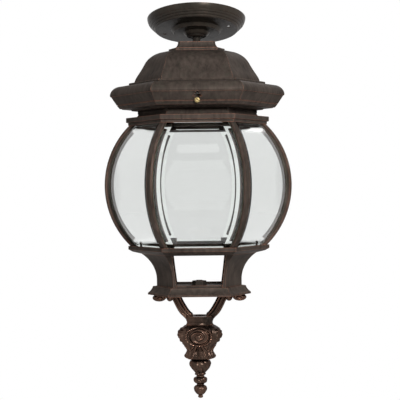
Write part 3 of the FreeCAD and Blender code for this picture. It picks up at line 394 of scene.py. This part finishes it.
def paneFaces(layer):
    # layer: how many points each side of the pane has, in rows of four
    faces, kinds = [], []
    last = layer // 4 - 1
    for side in (0, 1):
        for row in range(last):
            for column in range(3):
                start = side * layer + row * 4 + column
                faces.append((start, start + 1, start + 5, start + 4))
                plain = side == 0 and column == 1 and 0 < row < last - 1
                kinds.append(plainFace if plain else bevelFace)
    # the cut rim: along the foot, up one side, back along the top and down the other side
    rim = [0, 1, 2] + [row * 4 + 3 for row in range(last + 1)]
    rim += [last * 4 + column for column in (2, 1)]
    rim += [row * 4 for row in range(last, 0, -1)]
    for place, point in enumerate(rim):
        after = rim[(place + 1) % len(rim)]
        faces.append((point, after, after + layer, point + layer))
        kinds.append(rimFace)
    return faces, kinds


def makePanes():
    # Bent sheets with bevels round their outer faces, whose middles are a little darker than the bevels.
    points = panePoints()
    faces, kinds = paneFaces(len(points) // 2)
    finishes = [bevelGlass, paneGlass, cutGlass]
    for index in range(paneLook["count"]):
        node = f"pane_{index + 1}"
        spin = Matrix.Rotation(math.radians(360 * index / paneLook["count"]), 3, "Z")
        turned = [spin @ Vector(point) for point in points]
        piece = addPiece(f"bevelled_{node}", turned, faces, finishes, node, "clear_glass", kinds)
        sharp = piece.modifiers.new("crisp_bevels", "EDGE_SPLIT")
        sharp.split_angle = math.radians(paneLook["crispAngle"])


makePanes()
print("panes")


# In the turned pieces "down" holds (radius, drop from the top) and "up" (radius, height over the foot).
urnLook = {
    "columns": 320, "steps": 12, "motifs": 4, "motifTurn": -0.07, "squash": 0.80, "leastRadius": 17,
    "roseDrop": 14.2,
    "down": [(4, 0.02), (16.5, 0.05), (19.0, 0.8), (23.2, 3.2), (26.4, 7.5), (27.2, 13), (25.6, 19.5),
             (21.6, 26), (17.4, 32), (16.4, 35), (17.8, 38.5), (19.2, 41.5), (17.8, 44.5)],
    "up": [(12.6, 0.6), (4, 0.02)],
    "rose": {"radius": 10.6, "rim": 1.4, "bed": 0.6, "petals": 1.9, "pitch": 4.7, "crisp": 1.6,
             "petalsFrom": (1.6, 3.4), "bud": 2.6, "budRadius": 3.0},
    "scroll": {"radius": 13.2, "wide": 1.3, "rise": 2.5, "opening": 0.9, "openFrom": (8, 12),
               "endFrom": (10.5, 14), "grooveRadius": 11.3, "grooveWide": 0.8, "groove": 1.2},
    "hollow": {"deep": 2.2, "from": (0.82, 1.0), "endFrom": (11, 17)},
    "beads": {"rise": 1.2, "at": 0.74, "wide": 0.10, "endFrom": (6, 12), "wave": 0.9},
    "leaf": {"from": (11.5, 15), "flare": 3.2, "spread": 0.42, "spreadFrom": 13,
             "notch": 1.2, "notchFrom": (0.78, 1.0),
             "veins": [      # place, width and rise
                 (0, 0.9, 1.5), (0.5, 0.8, -0.8), (1, 1.0, 1.5), (2, 1.1, 1.1)]},
    "foot": {"drop": 27.5, "wide": 3.0, "sink": 0.9, "rise": 0.5, "flutes": 20},
}
roseLevel = topOf("urn") - urnLook["roseDrop"]


def roseRelief(reach, aim):
    # A spiral of petals round a bud.
    rose = urnLook["rose"]
    bed = 1 - fade(reach, rose["radius"] - rose["rim"], rose["radius"])
    coil = 0.5 + 0.5 * math.cos(2 * math.pi * reach / rose["pitch"] - aim)
    petals = rose["petals"] * coil ** rose["crisp"] * fade(reach, *rose["petalsFrom"])
    bud = rose["bud"] * max(0, 1 - (reach / rose["budRadius"]) ** 2) ** 0.5
    return bed * (rose["bed"] + petals) + bud


def scrollRelief(reach, up):
    # A scroll round the rose that fades over it and ends beside the leaf, with a groove inside it.
    scroll = urnLook["scroll"]
    rise = scroll["rise"] * ridge(reach - scroll["radius"], scroll["wide"])
    rise *= (1 - scroll["opening"] * fade(up, *scroll["openFrom"])) * (1 - fade(-up, *scroll["endFrom"]))
    return rise - scroll["groove"] * ridge(reach - scroll["grooveRadius"], scroll["grooveWide"])


def betweenRelief(share, up):
    # A hollow between two motifs, with a row of beads beside it.
    hollow, beads = urnLook["hollow"], urnLook["beads"]
    sunk = hollow["deep"] * fade(share, *hollow["from"]) * (1 - fade(-up, *hollow["endFrom"]))
    row = beads["rise"] * ridge(share - beads["at"], beads["wide"]) * (1 - fade(-up, *beads["endFrom"]))
    return row * math.cos(beads["wave"] * up) ** 2 - sunk


def leafRelief(edge, share, up):
    # A leaf below the rose, whose veins spread as they go down.
    leaf = urnLook["leaf"]
    flare = leaf["flare"] + leaf["spread"] * max(0, -up - leaf["spreadFrom"])
    rise = sum(high * ridge(edge - place * flare, wide) for place, wide, high in leaf["veins"])
    return fade(-up, *leaf["from"]) * (rise - leaf["notch"] * fade(share, *leaf["notchFrom"]))


def footRelief(side, up):
    # A fluted waist under the leaves.
    foot = urnLook["foot"]
    swell = math.cos(side * urnLook["motifs"] / 2) - foot["sink"]
    return ridge(-up - foot["drop"], foot["wide"]) * (swell + foot["rise"] * math.cos(side * foot["flutes"]))


def urnRelief(turn, level, radius):
    # The carving, once for each motif round the urn.
    part = 2 * math.pi / urnLook["motifs"]
    side = (turn - urnLook["motifTurn"] + part / 2) % part - part / 2
    share = abs(side) / (part / 2)
    across = side * max(radius, urnLook["leastRadius"]) * urnLook["squash"]
    up = level - roseLevel
    reach = math.hypot(across, up)
    rise = roseRelief(reach, math.atan2(up, across)) + scrollRelief(reach, up) + betweenRelief(share, up)
    return rise + leafRelief(abs(side) * radius, share, up) + footRelief(side, up)


leavesLook = {"round": 0.6, "sink": 0.7, "fullRadius": 8}
bulbLook = {
    "columns": 96, "steps": 8, "leaves": 8, "leafDeep": 1.6, "lean": 0.05,
    "down": [(4, 0.02), (11.4, 0.4), (13.9, 3.4), (14.2, 6.8), (12.2, 10.8), (9.2, 14.2)],
    "up": [(6.6, 3.4), (7.0, 2.0), (6.9, 0.9), (5.6, 0.1), (3.2, 0.02)],
}
ballLook = {
    "columns": 96, "steps": 8, "leaves": 8, "leafDeep": 1.1, "lean": 0.09,
    "down": [(3.2, 0.02), (5.0, 0.4), (5.2, 1.8), (8.2, 3.6), (9.1, 6.6), (8.0, 9.4)],
    "up": [(5.2, 1.4), (4.5, 0.2), (3.2, 0.02)],
}
tipLook = {
    "columns": 96, "steps": 8, "leaves": 8, "leafDeep": 1.1, "lean": -0.05,
    "down": [(3.2, 0.02), (4.6, 0.2), (7.4, 2.0), (8.8, 5.0), (8.0, 8.2), (5.2, 12.0)],
    "up": [(2.7, 4.0), (3.3, 2.6), (2.4, 0.7), (0.1, 0)],
}


def leavesRelief(look):
    # Rounded leaves round a turned piece, which lean by so much for each millimetre of height.
    def relief(turn, level, radius):
        wave = abs(math.cos((turn + look["lean"] * level) * look["leaves"] / 2))
        rise = look["leafDeep"] * (wave ** leavesLook["round"] - leavesLook["sink"])
        return rise * min(1, radius / leavesLook["fullRadius"])
    return relief


def turnedPiece(name, node, look, top, foot, relief):
    # The relief raises the turned surface along its radius.
    profile = [(radius, top - drop, 0) for radius, drop in look["down"]]
    profile += [(radius, foot + height, 0) for radius, height in look["up"]]
    leastRadius = 0.05
    rings = []
    for spot in curveThrough(profile, look["steps"]):
        ring = []
        for column in range(look["columns"]):
            turn = 2 * math.pi * column / look["columns"]
            radius = max(leastRadius, spot.x + relief(turn, spot.y, spot.x))
            ring.append((radius * math.cos(turn), radius * math.sin(turn), spot.y))
        rings.append(ring)
    addPiece(name, *tube(rings), [tailBronze], node, "bronze_casting")


def makeFinial():
    # Each piece starts at the foot of the one above.
    foot = footOf("urn")
    turnedPiece("carved_urn", "urn", urnLook, topOf("urn"), foot, urnRelief)
    for name, look in (("bulb", bulbLook), ("ball", ballLook), ("tip", tipLook)):
        node = f"finial_{name}"
        top, foot = foot, footOf(node)
        turnedPiece(f"leafed_{name}", node, look, top, foot, leavesRelief(look))


makeFinial()
print("urn and finial")


armLook = {
    "edges": [      # inner and outer edge of the limb, as (out, drop) from the axis and the tray's foot
        ((28.2, -2.5), (39.5, 3.5)), ((26.0, 0.5), (37.4, 5.8)), ((23.6, 4.0), (35.2, 9.0)),
        ((20.9, 9.4), (33.0, 13.6)), ((18.0, 14.4), (30.7, 18.2)), ((15.0, 19.3), (28.1, 22.8)),
        ((12.0, 23.0), (24.8, 27.0)), ((9.2, 25.6), (20.8, 30.8)), ((8.6, 28.5), (17.6, 34.5))],
    "steps": 5, "across": 26,
    "halfDeep": 6.5, "leastDeep": 0.5, "square": 5,
    "hollows": [(-0.42, 0.20, 2.0), (0.38, 0.22, 1.8)],      # place across the limb, width and depth
    "ease": 1.6, "easeFrom": (0.62, 0.8),                    # thins the inner edge
    "lumps": [      # place as (out, drop), half sizes, turns of the carving and its depth
        ((39.2, 4.8), (4.5, 7.6, 4.8), 1, 0.07), ((53.0, 4.6), (9.1, 7.6, 4.9), 2, 0.09),
        ((46.2, 2.4), (8.0, 4.6, 3.2), 1, 0.02)],
    "lumpRows": 36, "lumpColumns": 48, "seat": 0.05,
}


def limbDepth(share):
    # Half the limb's depth from its inner edge (-1) to its outer edge (1): two hollows beside a ridge.
    depth = armLook["halfDeep"] * (1 - abs(share) ** armLook["square"]) ** 0.5
    for place, wide, deep in armLook["hollows"]:
        depth -= deep * ridge(share - place, wide)
    return max(armLook["leastDeep"], depth - armLook["ease"] * fade(-share, *armLook["easeFrom"]))


def lump(place, size, swirl, deep):
    # A rounded leaf that curls round an axis along Y.
    rings = []
    for row in range(1, armLook["lumpRows"]):
        tilt = math.pi * row / armLook["lumpRows"]
        lean = 2 * math.pi * swirl * math.sin(tilt)
        ring = []
        for column in range(armLook["lumpColumns"]):
            turn = 2 * math.pi * column / armLook["lumpColumns"]
            wave = deep * math.cos(turn + lean) * math.sin(tilt) ** 0.5
            radius = math.sin(tilt) * (1 + wave / 2)
            ring.append((place[0] + size[0] * radius * math.cos(turn),
                         size[1] * math.cos(tilt) * (1 + 2 * wave),
                         place[1] + size[2] * radius * math.sin(turn)))
        rings.append(ring)
    return tube(rings)


def makeArm(sign, name):
    inners, outers = zip(*armLook["edges"])
    inners = curveThrough([(*inner, 0) for inner in inners], armLook["steps"])
    outers = curveThrough([(*outer, 0) for outer in outers], armLook["steps"])
    rings = []
    for inner, outer in zip(inners, outers):
        ring = []
        for side in (-1, 1):
            for step in range(armLook["across"] + 1):
                share = side * (1 - 2 * step / armLook["across"])
                spot = (inner + outer) / 2 + (outer - inner) / 2 * share
                ring.append((spot.x, side * limbDepth(share), spot.y))
        rings.append(ring)
    points, faces = tube(rings)
    for place, size, swirl, deep in armLook["lumps"]:
        more, shapes = lump(place, size, swirl, deep)
        faces += [tuple(corner + len(points) for corner in face) for face in shapes]
        points += more
    top = footOf("tray")      # nothing of the arm goes past the tray's foot
    points = [(sign * out, deep, min(top - drop, top - armLook["seat"])) for out, deep, drop in points]
    addPiece(f"scroll_arm_{name}", points, faces, [tailBronze], f"arm_{name}", "bronze_casting")


makeArm(-1, "left")
makeArm(1, "right")
print("arms")


screwLook = {
    "faces": {"front": 0, "left": 240, "right": 120},       # degrees round from the front
    "columns": 48, "centre": 0.1, "gripDeep": 0.16, "gripCount": 12,
    "shank": [(0.1, 0), (1.7, 0), (2.0, 0.5)],              # radius, distance from the inner end
    "collar": [(2.0, 6.0), (2.7, 5.7), (2.7, 3.7)],         # radius, distance behind the front
    "head": [(0.4, 3.6), (0, 3.1), (0, 1.0), (0.5, 0.4), (1.7, 0.05)],      # inset, distance behind it
    "slotWide": 0.9, "slotDeep": 1.2, "slotTurn": 35,
}


def cutAway(piece, cutter):
    tool = piece.modifiers.new("slot", "BOOLEAN")
    tool.operation = "DIFFERENCE"
    tool.object = cutter
    tool.solver = "EXACT"
    graph = bpy.context.evaluated_depsgraph_get()
    shape = bpy.data.meshes.new_from_object(piece.evaluated_get(graph))
    piece.modifiers.clear()
    piece.data = shape
    bpy.data.objects.remove(cutter)


def makeCutter():
    # A cube of one metre, which its matrix brings to size.
    cube = bmesh.new()
    bmesh.ops.create_cube(cube, size=1)
    shape = bpy.data.meshes.new("slotCutter")
    cube.to_mesh(shape)
    cube.free()
    cutter = bpy.data.objects.new("slotCutter", shape)
    bpy.context.scene.collection.objects.link(cutter)
    return cutter


def makeThumbScrew(name, turn):
    node = f"thumb_screw_{name}"
    low, high = (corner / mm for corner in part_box("thumb_screw_front"))      # it gives all the sizes
    back, front, level = -high.y, -low.y, (low.z + high.z) / 2
    head = (high.z - low.z) / 2
    profile = [(radius, back + along) for radius, along in screwLook["shank"]]
    profile += [(radius, front - behind) for radius, behind in screwLook["collar"]]
    profile += [(head - inset, front - behind) for inset, behind in screwLook["head"]]
    profile.append((screwLook["centre"], front))
    rings = []
    for radius, out in profile:
        ring = []
        for column in range(screwLook["columns"]):
            aim = 2 * math.pi * column / screwLook["columns"]
            grip = 0
            if radius == head:      # the rim of the head
                grip = screwLook["gripDeep"] * math.cos(screwLook["gripCount"] * aim)
            ring.append(((radius + grip) * math.cos(aim), -out, level + (radius + grip) * math.sin(aim)))
        rings.append(ring)
    points, faces = tube(rings)
    spin = Matrix.Rotation(math.radians(turn), 3, "Z")
    points = [spin @ Vector(point) for point in points]
    piece = addPiece(f"slotted_{node}", points, faces, [agedBrass], node, "brass")
    # the slot's cutter is centred on the screw's front and longer than the head is wide
    cutter = makeCutter()
    place = Matrix.Translation((0, -front * mm, level * mm))
    lean = Matrix.Rotation(math.radians(screwLook["slotTurn"]), 4, "Y")
    size = Matrix.Diagonal((4 * head, 2 * screwLook["slotDeep"], screwLook["slotWide"])).to_4x4()
    cutter.matrix_world = spin.to_4x4() @ place @ lean @ size @ Matrix.Scale(mm, 4)
    bpy.context.view_layer.update()
    cutAway(piece, cutter)


for name, turn in screwLook["faces"].items():
    makeThumbScrew(name, turn)
print("thumb screws")


stageLook = {
    "floorLevel": -1.3, "floorHalf": 3.0, "floorColour": (0.80, 0.80, 0.80), "floorRough": 0.9,
    "floorGlow": 0.85, "ambient": 0.14, "white": 1.0,
}


def seenRay(made):
    # 1 for what is seen straight, in a reflection or through glass, and 0 for what only gives light.
    camera = made.node("LightPath", {}, {}, "Is Camera Ray")
    glossy = made.node("LightPath", {}, {}, "Is Glossy Ray")
    through = made.node("LightPath", {}, {}, "Is Transmission Ray")
    return made.node("Math", {"operation": "ADD", "use_clamp": True}, {0: camera + glossy, 1: through})


def makeFloor():
    floor = Finish("pale_floor")
    shader = floor.node("BsdfPrincipled", {}, {
        "Base Color": stageLook["floorColour"], "Roughness": stageLook["floorRough"],
        "Emission Color": (1, 1, 1), "Emission Strength": seenRay(floor) * stageLook["floorGlow"]})
    half, level = stageLook["floorHalf"], stageLook["floorLevel"]
    corners = [(-half, -half, level), (half, -half, level), (half, half, level), (-half, half, level)]
    mesh = bpy.data.meshes.new("floor")
    mesh.from_pydata(corners, [], [(0, 1, 2, 3)])
    mesh.materials.append(floor.end(shader))
    plane = bpy.data.objects.new("floor", mesh)
    bpy.context.scene.collection.objects.link(plane)


def makeWorld():
    # White where it is seen, but only a little ambient light on the lantern.
    world = bpy.data.worlds.new("studio")
    bpy.context.scene.world = world
    air = Finish("studio", world)
    ambient = stageLook["ambient"]
    strength = ambient + (stageLook["white"] - ambient) * seenRay(air)
    sky = air.node("Background", {}, {"Color": (1, 1, 1), "Strength": strength})
    air.end(sky, "OutputWorld")


lampLook = {      # place, size, power in watts
    "keyLamp": ((0.55, -1.65, 0.4), 0.34, 29),
    "fillLamp": ((-1.7, -1.3, 0.1), 1.2, 2),
    "backLamp": ((0.9, 1.7, 0.9), 0.9, 3),
}
lampAim = (0, 0, -0.2)


def makeLamps():
    for name, (place, size, power) in lampLook.items():
        light = bpy.data.lights.new(name, "AREA")
        light.shape = "DISK"
        light.size = size
        light.energy = power
        lamp = bpy.data.objects.new(name, light)
        lamp.location = place
        lamp.rotation_euler = (Vector(lampAim) - Vector(place)).to_track_quat("-Z", "Y").to_euler()
        bpy.context.scene.collection.objects.link(lamp)


cameraLook = {
    "place": (0, -1.6625, -0.2069), "roll": 0.65,
    "lens": 112.5, "sensor": 36, "shiftX": 0.0045, "shiftY": -0.0375,
}


def makeCamera():
    eye = bpy.data.cameras.new("camera")
    eye.lens = cameraLook["lens"]
    eye.sensor_width = cameraLook["sensor"]
    eye.shift_x = cameraLook["shiftX"]
    eye.shift_y = cameraLook["shiftY"]
    camera = bpy.data.objects.new("camera", eye)
    level = Matrix.Rotation(math.radians(90), 4, "X")
    roll = Matrix.Rotation(math.radians(cameraLook["roll"]), 4, "Y")
    camera.matrix_world = Matrix.Translation(cameraLook["place"]) @ (roll @ level)
    bpy.context.scene.collection.objects.link(camera)
    bpy.context.scene.camera = camera


makeFloor()
makeWorld()
makeLamps()
makeCamera()
bpy.context.scene.view_settings.view_transform = "Standard"
print("stage, light and camera")
